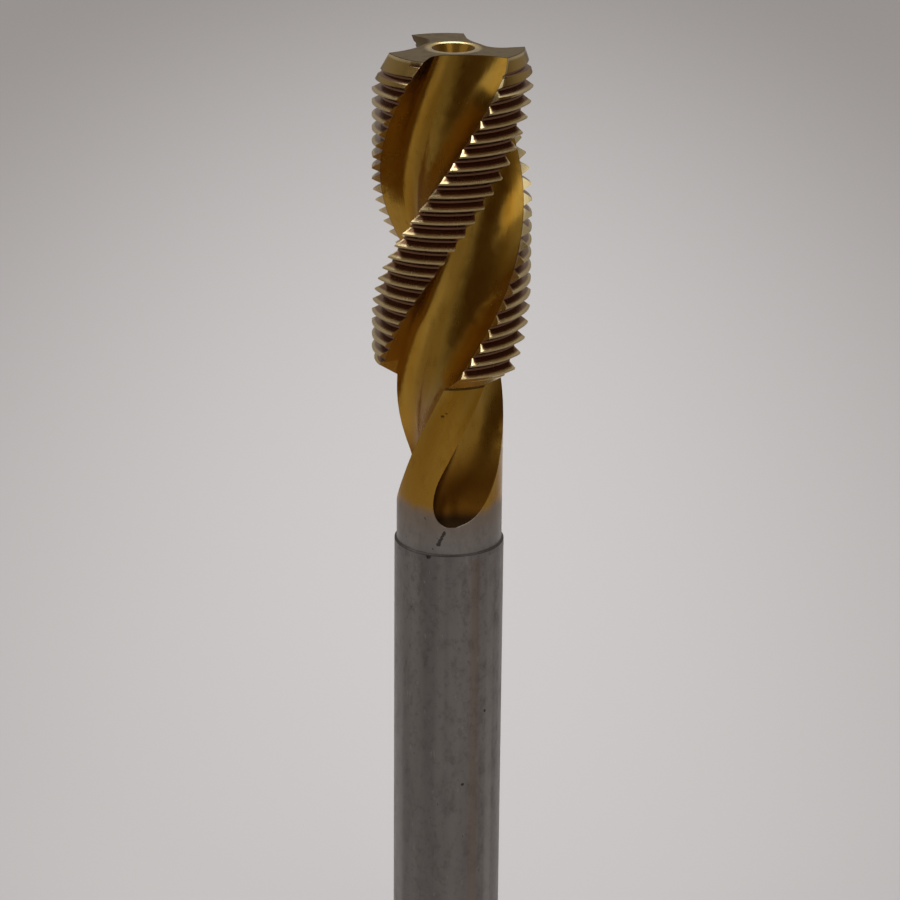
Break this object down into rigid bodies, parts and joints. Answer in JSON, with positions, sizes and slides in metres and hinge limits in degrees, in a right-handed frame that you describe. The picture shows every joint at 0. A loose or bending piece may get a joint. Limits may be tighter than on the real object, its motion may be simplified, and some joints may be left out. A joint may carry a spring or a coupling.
{
  "type": "spiral-flute thread tap",
  "caption": "One-piece spiral-flute machine tap standing on its square end: threaded cutting head with a short taper at the point, slim neck, round shank and driving square.",
  "frame": {"origin": "centre of the flat face at the square end, on the tap's axis", "axes": "+Z along the tap's axis from the square end to the point; -Y faces the side with the flute end seen low on the neck"},
  "size_m": [0.012, 0.012, 0.082],
  "materials": {
    "tool_steel": "gold coated on the cutting head and neck, bare ground steel on the shank"
  },
  "bodies": {
    "root": {"tap_body": "tool_steel"}
  },
  "joints": []
}
